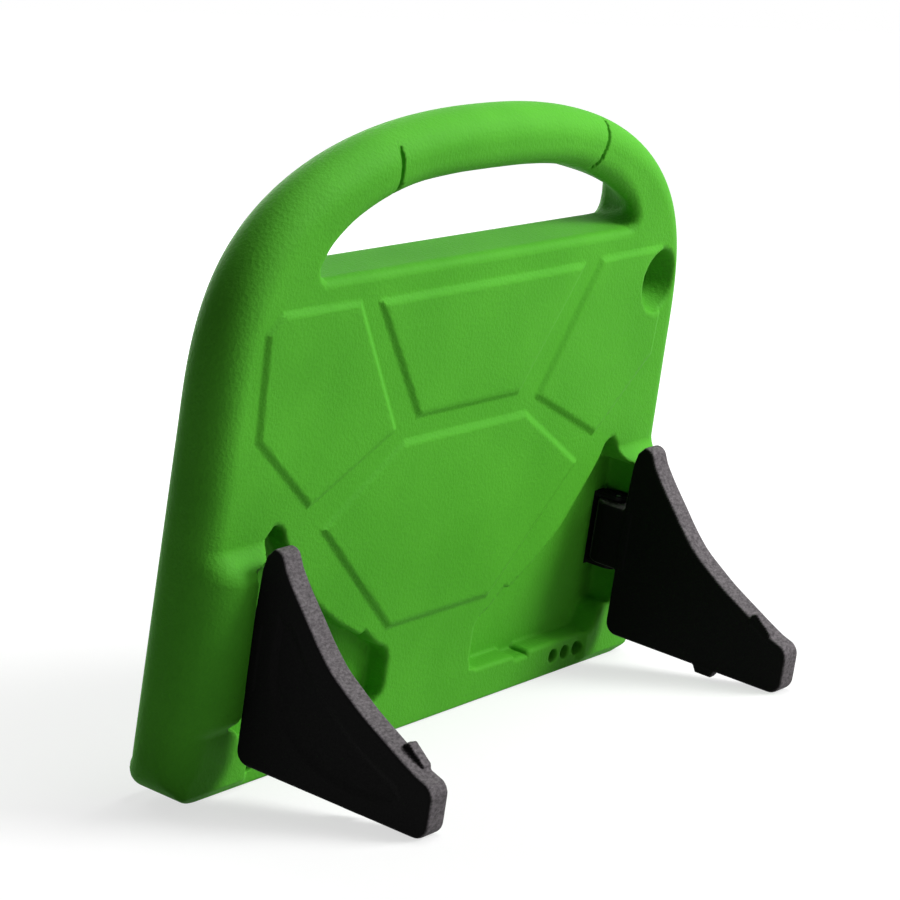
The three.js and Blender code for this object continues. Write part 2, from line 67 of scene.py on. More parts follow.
# Noise textures stay within this part of 0 to 1 nearly everywhere.
NOISE_SPAN = {"From Min": 0.3, "From Max": 0.7}
log = logging.getLogger("tablet_case")
FLATTEST_SLOPE = 0.05  # Squared slope of a field below which a step would run too far.


# Shared shape helpers.


def smooth(value: Field) -> Field:
    """Ease from 0 to 1 as the value goes from 0 to 1."""
    clipped = np.clip(value, 0.0, 1.0)
    return clipped * clipped * (3.0 - 2.0 * clipped)


def both(a: Field, b: Field, radius: Any = 0.0) -> Field:
    """Keep what lies in both fields, with the corner between them rounded off.

    Args:
        a: First distance field, negative inside.
        b: Second distance field.
        radius: Radius of the rounding, one number or a field.

    Returns:
        The joined field.
    """
    overlap = np.sqrt(np.maximum(a + radius, 0.0) ** 2 + np.maximum(b + radius, 0.0) ** 2)
    return np.minimum(np.maximum(a, b), -radius) + overlap


def either(a: Field, b: Field, radius: Any = 0.0) -> Field:
    """Keep what lies in one field or the other, with the inner corner between them filled.

    Args:
        a: First distance field, negative inside.
        b: Second distance field.
        radius: Radius of the fillet.

    Returns:
        The joined field.
    """
    return -both(-a, -b, radius)


def box_distance(u: Field, v: Field, low: Point, high: Point, radius: float) -> Field:
    """Distance to a rectangle with rounded corners.

    Args:
        u: First coordinate.
        v: Second coordinate.
        low: Lowest corner.
        high: Highest corner.
        radius: Corner radius.

    Returns:
        Signed distance, negative inside.
    """
    across = np.abs(u - (low[0] + high[0]) / 2) - (high[0] - low[0]) / 2 + radius
    along = np.abs(v - (low[1] + high[1]) / 2) - (high[1] - low[1]) / 2 + radius
    outside = np.sqrt(np.maximum(across, 0.0) ** 2 + np.maximum(along, 0.0) ** 2)
    return outside + np.minimum(np.maximum(across, along), 0.0) - radius


def arc(centre: Point, radius: float, start: float, end: float, steps: int) -> list[Point]:
    """Points on an arc.

    Args:
        centre: Centre of the arc.
        radius: Its radius.
        start: First angle in degrees.
        end: Last angle in degrees.
        steps: Number of chords.

    Returns:
        The points, both ends with them.
    """
    angles = np.radians(np.linspace(start, end, steps + 1))
    return [(centre[0] + radius * math.cos(a), centre[1] + radius * math.sin(a)) for a in angles]


def both_halves(right: Sequence[Point], middle: Point) -> list[Point]:
    """Closed outline from its right half and the point on its centre line."""
    return [*right, middle, *((-x, z) for x, z in reversed(right))]


def facing_down(points: Sequence[Point]) -> Field:
    """Share by which each point of an outline lies on an edge that faces down.

    Args:
        points: The outline's points, in the order that both_halves gives.

    Returns:
        One share for each point, from 0 to 1.
    """
    row = np.array(points)
    along = np.roll(row, -1, axis=0) - np.roll(row, 1, axis=0)
    return smooth((along[:, 0] / np.linalg.norm(along, axis=1) - 0.1) / 0.8)


def curve_through(points: Sequence[Point], steps: int) -> list[Point]:
    """Smooth curve through a few points, as a centripetal spline of chords.

    Args:
        points: Points that the curve passes through.
        steps: Chords between two of them.

    Returns:
        Points on the curve, both ends with them.
    """
    row = np.array(points, dtype=float)
    padded = np.vstack((2 * row[0] - row[1], row, 2 * row[-1] - row[-2]))
    made = []
    for i in range(len(row) - 1):
        p0, p1, p2, p3 = padded[i:i + 4]
        t1 = np.linalg.norm(p1 - p0) ** 0.5
        t2 = t1 + np.linalg.norm(p2 - p1) ** 0.5
        t3 = t2 + np.linalg.norm(p3 - p2) ** 0.5
        for k in range(steps):
            t = t1 + (t2 - t1) * k / steps
            a1 = p0 * (t1 - t) / t1 + p1 * t / t1
            a2 = p1 * (t2 - t) / (t2 - t1) + p2 * (t - t1) / (t2 - t1)
            a3 = p2 * (t3 - t) / (t3 - t2) + p3 * (t - t2) / (t3 - t2)
            b1 = a1 * (t2 - t) / t2 + a2 * t / t2
            b2 = a2 * (t3 - t) / (t3 - t1) + a3 * (t - t1) / (t3 - t1)
            made.append(tuple(b1 * (t2 - t) / (t2 - t1) + b2 * (t - t1) / (t2 - t1)))
    made.append(tuple(row[-1]))
    return made


class Outline:
    """Closed outline with sizes, such as fillets, that vary along it."""

    def __init__(self, points: Sequence[Point], sizes: np.ndarray | None = None) -> None:
        """Keep the outline's chords.

        Args:
            points: Corner points in order, either way round.
            sizes: One row of sizes for each point, or None.
        """
        self.start = np.array(points, dtype=float)
        self.end = np.roll(self.start, -1, axis=0)
        self.sizes = sizes

    def measure(self, u: Field, v: Field) -> tuple[Field, list[Field]]:
        """Distance to the outline, and its sizes at the nearest place on it.

        Args:
            u: First coordinate.
            v: Second coordinate.

        Returns:
            Signed distance, negative inside, and one field for each size.
        """
        u, v = np.broadcast_arrays(u, v)
        best = np.full(u.shape, 1e12)
        inside = np.zeros(u.shape, dtype=bool)
        count = 0 if self.sizes is None else self.sizes.shape[1]
        found = [np.zeros(u.shape) for _ in range(count)]
        for i in range(len(self.start)):
            (au, av), (bu, bv) = self.start[i], self.end[i]
            du, dv = bu - au, bv - av
            share = np.clip(((u - au) * du + (v - av) * dv) / (du * du + dv * dv), 0.0, 1.0)
            gap = (u - au - share * du) ** 2 + (v - av - share * dv) ** 2
            nearer = gap < best
            best = np.where(nearer, gap, best)
            if count:
                following = (i + 1) % len(self.start)
                for k in range(count):
                    here, there = self.sizes[i, k], self.sizes[following, k]
                    found[k] = np.where(nearer, here + (there - here) * share, found[k])
            if av != bv:
                crosses = ((av > v) != (bv > v)) & (u < (bu - au) * (v - av) / (bv - av) + au)
                inside ^= crosses
        distance = np.sqrt(best)
        return np.where(inside, -distance, distance), found

    def distance(self, u: Field, v: Field) -> Field:
        """Signed distance to the outline, negative inside."""
        return self.measure(u, v)[0]


Solid = Callable[[Field, Field, Field], Field]


def lay_net(solid: Solid, xs: Field, ys: Field, zs: Field) -> tuple[Field, Field]:
    """Lay a net of quads over a distance field, one corner in each cell that it crosses.

    Args:
        solid: The field, negative inside.
        xs: Grid lines along X.
        ys: Grid lines along Y.
        zs: Grid lines along Z.

    Returns:
        Corner points and quads that face outwards.
    """
    value = solid(xs[:, None, None], ys[None, :, None], zs[None, None, :])
    lines = (xs, ys, zs)
    cells = tuple(n - 1 for n in value.shape)
    total = np.zeros(cells + (3,))
    count = np.zeros(cells)
    crossings = []
    for axis in range(3):
        low = np.take(value, range(value.shape[axis] - 1), axis=axis)
        high = np.take(value, range(1, value.shape[axis]), axis=axis)
        hit = (low < 0) != (high < 0)
        crossings.append((hit, low < 0))
        share = np.where(hit, low / np.where(hit, low - high, 1.0), 0.0)
        place = []
        for other in range(3):
            shape = [1, 1, 1]
            shape[other] = -1
            line = lines[other]
            if other == axis:
                step = np.diff(line).reshape(shape)
                place.append(line[:-1].reshape(shape) + share * step)
            else:
                place.append(np.broadcast_to(line.reshape(shape), hit.shape))
        first, second = [other for other in range(3) if other != axis]
        for da in (0, 1):
            for db in (0, 1):
                cut = [slice(None)] * 3
                cut[first] = slice(da, value.shape[first] - 1 + da)
                cut[second] = slice(db, value.shape[second] - 1 + db)
                window = tuple(cut)
                count += hit[window]
                for other in range(3):
                    total[..., other] += np.where(hit[window], place[other][window], 0.0)
    used = count > 0
    number = np.full(cells, -1)
    number[used] = np.arange(int(used.sum()))
    points = total[used] / count[used][:, None]
    quads = []
    for axis in range(3):
        hit, starts_inside = crossings[axis]
        first, second = (axis + 1) % 3, (axis + 2) % 3
        cut = [slice(None)] * 3
        cut[first] = slice(1, value.shape[first] - 1)
        cut[second] = slice(1, value.shape[second] - 1)
        window = tuple(cut)
        place = np.argwhere(hit[window])
        place[:, first] += 1
        place[:, second] += 1
        ring = []
        for da, db in ((-1, -1), (0, -1), (0, 0), (-1, 0)):
            corner = place.copy()
            corner[:, first] += da
            corner[:, second] += db
            ring.append(number[corner[:, 0], corner[:, 1], corner[:, 2]])
        faces = np.stack(ring, axis=1)
        outward = starts_inside[place[:, 0], place[:, 1], place[:, 2]]
        quads.append(np.where(outward[:, None], faces, faces[:, ::-1]))
    return points, np.concatenate(quads)


def slope_of(solid: Solid, points: Field) -> tuple[Field, Field]:
    """Value of a field and its slope at some points.

    Args:
        solid: The field.
        points: One point in each row.

    Returns:
        Values, and one slope vector in each row.
    """
    step = 0.02
    value = solid(points[:, 0], points[:, 1], points[:, 2])
    slope = np.empty_like(points)
    for axis in range(3):
        moved = points.copy()
        moved[:, axis] += step
        slope[:, axis] = (solid(moved[:, 0], moved[:, 1], moved[:, 2]) - value) / step
    return value, slope


def settle(solid: Solid, points: Field, rounds: int, reach: float) -> tuple[Field, Field]:
    """Move the points of a net onto the surface of its field.

    Args:
        solid: The field, negative inside.
        points: One point in each row.
        rounds: Number of steps.
        reach: Furthest that a point may move in one step.

    Returns:
        The moved points and the outward normals there.
    """
    for _ in range(rounds):
        value, slope = slope_of(solid, points)
        steep = np.maximum((slope ** 2).sum(axis=1), FLATTEST_SLOPE)
        move = -slope * (value / steep)[:, None]
        length = np.linalg.norm(move, axis=1)
        move *= np.minimum(1.0, reach / np.maximum(length, 1e-9))[:, None]
        points = points + move
    _, slope = slope_of(solid, points)
    length = np.maximum(np.linalg.norm(slope, axis=1), 1e-6)
    return points, slope / length[:, None]


@dataclass
class Lean:
    """How the upright case is leaned back and stood on the floor."""

    hinge_x: float = 98.8
    hinge_y: float = -0.7
    hinge_z: float = 45.5
    matrix: Matrix = field(init=False)

    def __post_init__(self) -> None:
        """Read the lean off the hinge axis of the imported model."""
        joints = {joint["name"]: joint for joint in frame["record"]["behaviour"]["joints"]}
        joint = joints["left_leg_fold"]
        axis = joint["axis"]
        turn = Matrix.Rotation(-math.atan2(axis[1], axis[2]), 4, "X")
        hinge = turn @ (Vector((self.hinge_x, self.hinge_y, self.hinge_z)) * MM)
        shift = Vector(joint["pos_m"]) - hinge
        self.matrix = Matrix.Translation(shift) @ turn @ Matrix.Scale(MM, 4)

    def place(self, points: Field) -> Field:
        """Put upright points in millimetres where they stand, in metres.

        Args:
            points: One point in each row.

        Returns:
            The placed points.
        """
        table = np.array(self.matrix)
        return points @ table[:3, :3].T + table[:3, 3]

    def turn(self, directions: Field) -> Field:
        """Turn upright directions as the case is leaned.

        Args:
            directions: One direction in each row.

        Returns:
            The turned directions.
        """
        return directions @ (np.array(self.matrix)[:3, :3].T / MM)


LEAN = Lean()


def link_object(name: str, data: Any) -> Piece:
    """Make an object from its data and put it in the scene."""
    made = bpy.data.objects.new(name, data)
    bpy.context.scene.collection.objects.link(made)
    return made


def mesh_object(name: str, points: Field, faces: Field, normals: Field | None = None) -> Piece:
    """Make an object from points and faces.

    Args:
        name: Name of the object.
        points: One point in each row, in metres.
        faces: One face in each row.
        normals: Normals at the points, or None for flat ones.

    Returns:
        The new object, in the scene.
    """
    mesh = bpy.data.meshes.new(name)
    mesh.from_pydata(points.tolist(), [], faces.tolist())
    mesh.polygons.foreach_set("use_smooth", [True] * len(mesh.polygons))
    mesh.update()
    if normals is not None:
        mesh.normals_split_custom_set_from_vertices(normals.tolist())
    return link_object(name, mesh)


def store(target: Piece, name: str, values: Field) -> None:
    """Keep one number for each point of a mesh as an attribute."""
    layer = target.data.attributes.new(name, "FLOAT", "POINT")
    layer.data.foreach_set("value", np.asarray(values, dtype=np.float32))


# Materials.


def linear(code: str) -> tuple[float, float, float, float]:
    """Turn an sRGB hex colour into linear light.

    Args:
        code: Six hex digits.

    Returns:
        Red, green, blue and a full alpha.
    """
    shares = [int(code[i:i + 2], 16) / 255 for i in (0, 2, 4)]
    bright = [c / 12.92 if c <= 0.04045 else ((c + 0.055) / 1.055) ** 2.4 for c in shares]
    return (*bright, 1.0)


def add_node(tree: Tree, kind: str, links: dict[Any, Any], **settings: Any) -> bpy.types.Node:
    """Add a node, with its settings, and feed its inputs.

    Args:
        tree: Node tree to add to.
        kind: Node type.
        links: Value, output socket or node for each input, by name or number.
        settings: Properties of the node.

    Returns:
        The node.
    """
    made = tree.nodes.new(kind)
    for name, value in settings.items():
        setattr(made, name, value)
    for key, value in links.items():
        socket = made.inputs[key]
        if isinstance(value, bpy.types.Node):
            value = value.outputs[0]
        if isinstance(value, bpy.types.NodeSocket):
            tree.links.new(value, socket)
        else:
            socket.default_value = value
    return made


def begin_finish(name: str) -> tuple[Finish, Adder, Feed]:
    """Start a material whose patterns are laid on Object coordinates.

    Args:
        name: Name of the material.

    Returns:
        The material, what adds a node to it, and the coordinates.
    """
    made = bpy.data.materials.new(name)
    made.use_nodes = True
    made.node_tree.nodes.clear()
    add = partial(add_node, made.node_tree)
    return made, add, add("ShaderNodeTexCoord", {}).outputs["Object"]


def two_tone(add: Adder, pattern: Feed, span: Point, first: str, second: str) -> Feed:
    """Blend two colours by a pattern.

    Args:
        add: What adds a node to the material.
        pattern: Pattern that the blend follows.
        span: Values of the pattern at which the first and the second colour are full.
        first: First colour, in sRGB hex digits.
        second: Second colour.

    Returns:
        The blended colour.
    """
    share = add("ShaderNodeMapRange", {"Value": pattern, "From Min": span[0], "From Max": span[1]})
    tones = {0: share, 6: linear(first), 7: linear(second)}
    return add("ShaderNodeMix", tones, data_type="RGBA").outputs[2]


def relief(add: Adder, first: Feed, second: Feed, depth: float, strength: float) -> Feed:
    """Bend the normals by the sum of two patterns.

    Args:
        add: What adds a node to the material.
        first: First pattern.
        second: Second pattern.
        depth: Depth of the relief in millimetres.
        strength: Strength of the bump, from 0 to 1.

    Returns:
        The bent normal.
    """
    height = add("ShaderNodeMath", {0: first, 1: second}, operation="ADD")
    return add("ShaderNodeBump", {"Height": height, "Distance": depth * MM, "Strength": strength})


def close_finish(add: Adder, pattern: Feed, roughness: Point, sockets: dict[str, Any]) -> None:
    """Add the shader of a material and its output.

    Args:
        add: What adds a node to the material.
        pattern: Noise that the roughness follows.
        roughness: Lowest and highest roughness.
        sockets: What the shader's other inputs take.
    """
    spread = {"Value": pattern, **NOISE_SPAN, "To Min": roughness[0], "To Max": roughness[1]}
    rough = add("ShaderNodeMapRange", spread)
    shader = add("ShaderNodeBsdfPrincipled", {**sockets, "Roughness": rough})
    add("ShaderNodeOutputMaterial", {"Surface": shader})


class Grain(Enum):
    """How coarse a moulded grain is, in millimetres from one pebble to the next."""

    LEATHER = 1.15
    SPARK = 0.55


@dataclass(frozen=True)
class FoamFinish:
    """Closed-cell EVA foam, moulded against a leather-grained tool.

    It gives the eye a full, even green with a broad soft sheen, and pebbles a millimetre across
    that show as fine light and dark flecks wherever the light grazes them.
    """

    light: str = "53AC2C"
    deep: str = "4BA126"
    roughness: float = 0.62
    gloss: float = 0.12
    ior: float = 1.45
    grain: Grain = Grain.LEATHER
    grain_depth: float = 0.17

    def material(self) -> Finish:
        """Build the foam's material.

        Returns:
            The material.
        """
        made, add, place = begin_finish("eva_foam_leather_grain")
        pebble = METRE / self.grain.value
        bend = add(
            "ShaderNodeTexNoise", {"Vector": place, "Scale": pebble * 0.8, "Detail": 2.0}
        ).outputs["Color"]
        bent = add("ShaderNodeMix", {0: 0.0006, 4: place, 5: bend}, data_type="VECTOR").outputs[1]
        cells = add("ShaderNodeTexVoronoi", {"Vector": bent, "Scale": pebble}, feature="F1")
        fine = add(
            "ShaderNodeTexNoise",
            {"Vector": place, "Scale": METRE / 0.45, "Detail": 3.0, "Roughness": 0.6},
        )
        bump = relief(add, cells, fine, self.grain_depth, 0.55)
        cloud = add("ShaderNodeTexNoise", {"Vector": place, "Scale": METRE / 38.0, "Detail": 3.0})
        colour = two_tone(add, cloud, (0.35, 0.7), self.deep, self.light)
        speck = add(
            "ShaderNodeMapRange", {"Value": fine, **NOISE_SPAN, "To Min": 0.93, "To Max": 1.05}
        )
        tint = add("ShaderNodeVectorMath", {0: colour, "Scale": speck}, operation="SCALE")
        close_finish(
            add, fine, (self.roughness - 0.05, self.roughness + 0.08),
            {
                "Base Color": tint, "IOR": self.ior,
                "Specular IOR Level": self.gloss, "Normal": bump,
            },
        )
        return made


@dataclass(frozen=True)
class LegFinish:
    """Black ABS, injection moulded, with a spark-eroded texture and a grey sheen painted on its
    rims.

    It gives the eye near-black flat faces that hardly shine, and narrow edges whose coarse grain
    carries a grey, streaky band of painted sheen, the light that grazing edges catch.
    """

    face: str = "080808"
    # Grey of the painted sheen on the rims, not a colour of the plastic.
    rim: str = "6E696C"
    roughness: float = 0.62
    gloss: float = 0.05
    ior: float = 1.53
    grain: Grain = Grain.SPARK
    grain_depth: float = 0.1

    def material(self) -> Finish:
        """Build the legs' material.

        Returns:
            The material.
        """
        made, add, place = begin_finish("black_abs_spark_grain")
        # The rim attribute marks edges that face away from X. On them the grey is painted sheen,
        # the light that the grained edges catch, streaked by noise. The grain bumps are real.
        edge = add("ShaderNodeAttribute", {}, attribute_name="rim").outputs["Fac"]
        pits = add(
            "ShaderNodeTexNoise",
            {"Vector": place, "Scale": METRE / self.grain.value, "Detail": 4.0, "Roughness": 0.65},
        )
        across = add("ShaderNodeMapping", {"Vector": place, "Scale": (0.6, 1.0, 1.0)})
        streak = add(
            "ShaderNodeTexNoise",
            {"Vector": across, "Scale": METRE / 0.8, "Detail": 3.0, "Roughness": 0.6},
        )
        # Streaks across the painted sheen on the rims.
        streaked_sheen = add(
            "ShaderNodeMapRange",
            {"Value": streak, "From Min": 0.3, "From Max": 0.68, "To Min": 0.35, "To Max": 1.0},
        )
        share = add("ShaderNodeMath", {0: edge, 1: streaked_sheen}, operation="MULTIPLY")
        close_finish(
            add, pits, (self.roughness - 0.06, self.roughness + 0.12),
            {
                "Base Color": two_tone(add, share, (0.0, 1.0), self.face, self.rim),
                "IOR": self.ior, "Specular IOR Level": self.gloss,
                "Normal": relief(add, pits, streak, self.grain_depth, 0.5),
            },
        )
        return made


@dataclass(frozen=True)
class BracketFinish:
    """Black acetal of the hinge brackets: matt as the etched tool left it, with a faint haze."""

    colour: str = "0A0A0B"
    roughness: float = 0.55
    gloss: float = 0.1
    ior: float = 1.48

    def material(self) -> Finish:
        """Build the brackets' material.

        Returns:
            The material.
        """
        made, add, place = begin_finish("black_acetal_smooth")
        haze = add("ShaderNodeTexNoise", {"Vector": place, "Scale": METRE / 2.5, "Detail": 3.0})
        close_finish(
            add, haze, (self.roughness - 0.05, self.roughness + 0.1),
            {
                "Base Color": linear(self.colour), "IOR": self.ior,
                "Specular IOR Level": self.gloss,
            },
        )
        return made


@dataclass(frozen=True)
class PinFinish:
    """Drawn stainless wire: fine lines from the die run round the pin and stretch its highlight."""

    colour: str = "C3C5C8"
    roughness: float = 0.3

    def material(self) -> Finish:
        """Build the pins' material.

        Returns:
            The material.
        """
        made, add, place = begin_finish("drawn_stainless_steel")
        drawn = add("ShaderNodeMapping", {"Vector": place, "Scale": (1.0, 1.0, 0.08)})
        lines = add("ShaderNodeTexNoise", {"Vector": drawn, "Scale": METRE / 0.2, "Detail": 2.0})
        close_finish(
            add, lines, (self.roughness - 0.08, self.roughness + 0.12),
            {"Base Color": linear(self.colour), "Metallic": 1.0},
        )
        return made


# Legs.


@dataclass
class StandLeg:
    """Flat moulded stand leg: hollow-edged plate, hinge knuckle and two small nubs."""

    inner_face: float = 92.3
    thickness: float = 8.4
    hinge_edge: float = 5.8
    reach: float = 74.0
    foot: float = 12.9
    apex_height: float = 78.6
    apex_width: float = 8.2
    apex_radius: float = 3.6
    tip_height: float = 17.0
    tip_radius: float = 4.6
    heel_radius: float = 4.2
    shoulder: float = 58.7
    edge_radius: float = 1.0
    panel_depth: float = 0.8
    panel_slope: float = 2.6
    hinge: Point = (98.8, -0.7)
    knuckle: Point = (35.0, 56.0)
    knuckle_radius: float = 6.5
    bore_radius: float = 1.5
    foot_nub_span: Point = (41.0, 49.2)
    foot_nub_drop: float = 2.2
    foot_nub_slope: float = 1.2
    catch_span: Point = (59.0, 67.0)
    catch_rise: float = 1.8
    nub_thickness: float = 3.8
    sag: tuple[Point, ...] = (
        (0.078, 0.133), (0.204, 0.319), (0.289, 0.443), (0.388, 0.563),
        (0.5, 0.66), (0.601, 0.741), (0.758, 0.847), (0.894, 0.936),
    )

    def profile(self, grow: float = 0.0) -> list[Point]:
        """Side outline of the leg, as places along Y and Z.

        Args:
            grow: How far outside the leg the outline runs.

        Returns:
            The outline's points.
        """
        tip_top = self.foot + self.tip_height
        centre = self.reach - self.tip_radius
        low = arc((centre, self.foot + self.tip_radius), self.tip_radius + grow, -90, 0, 8)
        high = arc((centre, tip_top - self.tip_radius), self.tip_radius + grow, 0, 62, 6)
        start = np.array((self.hinge_edge + self.apex_width, self.apex_height - self.apex_radius))
        end = np.array((centre, tip_top))
        drop = np.array((end[0] - start[0], end[1] - start[1]))
        run = [tuple(start + drop * np.array(share)) for share in self.sag]
        hollow = np.array(curve_through([tuple(start), *run, tuple(end)], 4)[1:-1][::-1])
        along = np.gradient(hollow, axis=0)
        outward = np.stack((along[:, 1], -along[:, 0]), axis=1)
        outward /= np.linalg.norm(outward, axis=1)[:, None]
        edge = [tuple(p) for p in hollow + outward * grow]
        apex_y, apex_z = self.hinge_edge, self.apex_height
        top_centre = (apex_y + self.apex_width - self.apex_radius, apex_z - self.apex_radius)
        apex = arc(top_centre, self.apex_radius + grow, 20, 100, 7)
        heel = [
            (
                apex_y + self.apex_radius * 0.45 - grow * 0.8,
                apex_z - self.apex_radius * 0.75 + grow * 0.6,
            ),
            (apex_y + 0.6 - grow, apex_z - self.apex_radius * 2),
            (apex_y - grow, self.shoulder),
        ]
        base_centre = (self.hinge_edge + self.heel_radius, self.foot + self.heel_radius)
        base = arc(base_centre, self.heel_radius + grow, 180, 270, 6)
        return [*low, *high, *edge, *apex, *heel, *base]

    def foot_nub(self, grow: float) -> list[Point]:
        """Outline of the nub under the foot.

        Args:
            grow: How far outside the nub the outline runs.

        Returns:
            The outline's points.
        """
        start, end = self.foot_nub_span
        low, slope = self.foot - self.foot_nub_drop - grow, self.foot_nub_slope
        return [
            (start - grow, self.foot + 1.0),
            (start - grow, self.foot),
            (start + slope - grow, low),
            (end - slope + grow, low),
            (end + grow, self.foot),
            (end + grow, self.foot + 1.0),
        ]

    def edge_height(self, place: float) -> float:
        """Height of the hollow edge above a place along the leg.

        Args:
            place: The place, along Y.

        Returns:
            The height, along Z.
        """
        row = self.profile()
        best = 0.0
        for (y0, z0), (y1, z1) in zip(row, row[1:]):
            if y0 > y1 and y1 <= place <= y0:
                best = max(best, z0 + (z1 - z0) * (place - y0) / (y1 - y0))
        return best

    def catch_nub(self) -> list[Point]:
        """Outline of the nub on the hollow edge.

        Returns:
            The outline's points.
        """
        start, end = self.catch_span
        low, high = self.edge_height(start), self.edge_height(end)
        return [
            (start, low - 2.0),
            (end, high - 2.0),
            (end, high + self.catch_rise * 0.6),
            (start + 2.0, low + self.catch_rise),
            (start, low + self.catch_rise * 0.5),
        ]

    def catch_room(self, grow: float) -> list[Point]:
        """Outline of the smooth swelling of the recess round the catch nub.

        Args:
            grow: How far outside the leg the recess runs.

        Returns:
            The outline's points.
        """
        start, end = self.catch_span
        before = start - 8.0
        low, high = self.edge_height(start), self.edge_height(end)
        near = grow * 0.4
        tip = self.reach - self.tip_radius
        return [
            (before, self.edge_height(before) - 2.0),
            (tip, self.foot + self.tip_radius),
            (tip, self.foot + self.tip_height + grow),
            (end + near, high + self.catch_rise * 0.6 + near),
            (start + 2.0 + near, low + self.catch_rise + near),
            (start - near, low + self.catch_rise * 0.5 + near),
            (before, self.edge_height(before) + grow),
        ]

    def panel(self) -> list[Point]:
        """Outline of the shallow crescent panel on the outer face.

        Returns:
            The outline's points.
        """
        outer = [
            (14.0, 61.4), (14.0, 41.9), (17.7, 32.6), (23.3, 26.0), (32.6, 20.5),
            (46.5, 17.9), (60.5, 19.5), (64.2, 22.3),
        ]
        inner = [
            (62.3, 26.0), (55.8, 28.8), (46.5, 33.5), (37.2, 40.0), (27.9, 48.4), (20.5, 58.6),
        ]
        return [*curve_through(outer, 5), *curve_through(inner, 5)]

    def field(self) -> Solid:
        """Distance field of the leg on the +X side.

        Returns:
            The field, negative inside.
        """
        outer_face = self.inner_face + self.thickness
        plate, panel = Outline(self.profile()), Outline(self.panel())
        nubs = (Outline(self.foot_nub(0.0)), Outline(self.catch_nub()))
        hinge_x, hinge_y = self.hinge
        low, high = self.knuckle

        def solid(x: Field, y: Field, z: Field) -> Field:
            """Distance at one place or many."""
            sunk = self.panel_depth * smooth(-panel.distance(y, z) / self.panel_slope)
            slab = np.maximum(x - outer_face + sunk, self.inner_face - x)
            body = both(plate.distance(y, z), slab, self.edge_radius)
            half = self.nub_thickness / 2
            thin = np.abs(x - self.inner_face - half) - half
            for nub in nubs:
                body = either(body, both(nub.distance(y, z), thin, 0.5), 0.5)
            away = np.sqrt((x - hinge_x) ** 2 + (y - hinge_y) ** 2)
            web = box_distance(
                x, y, (self.inner_face, hinge_y), (outer_face, self.hinge_edge + 3.0), 0.3
            )
            span = np.abs(z - (low + high) / 2) - (high - low) / 2
            tab = np.minimum(np.maximum(away - self.knuckle_radius, x - outer_face), web)
            body = either(body, both(tab, span, 1.0), 0.6)
            return both(body, self.bore_radius - away, 0.3)

        return solid

    def build(self, name: str, side: int, pitch: float) -> Piece:
        """Build one leg.

        Args:
            name: Name of the piece.
            side: 1 for the leg on the +X side, -1 for the other.
            pitch: Grid pitch in millimetres.

        Returns:
            The leg's object.
        """
        solid = self.field()
        xs = np.arange(self.inner_face - 2.0, self.inner_face + self.thickness + 5.2, pitch)
        ys = np.arange(self.hinge[1] - self.knuckle_radius - 2.0, self.reach + 2.0, pitch)
        zs = np.arange(self.foot - 5.0, self.apex_height + 2.0, pitch)
        points, faces = lay_net(solid, xs, ys, zs)
        points, normals = settle(solid, points, 3, pitch * 0.6)
        points[:, 0] *= side
        normals[:, 0] *= side
        if side < 0:
            faces = faces[:, ::-1]
        made = mesh_object(name, LEAN.place(points), faces, LEAN.turn(normals))
        # The rim value marks the edges where the finish paints a grey sheen of grazing light.
        flat = smooth((np.abs(normals[:, 0]) - 0.55) / 0.3)
        store(made, "rim", 1.0 - flat)
        return made


# Foam case.


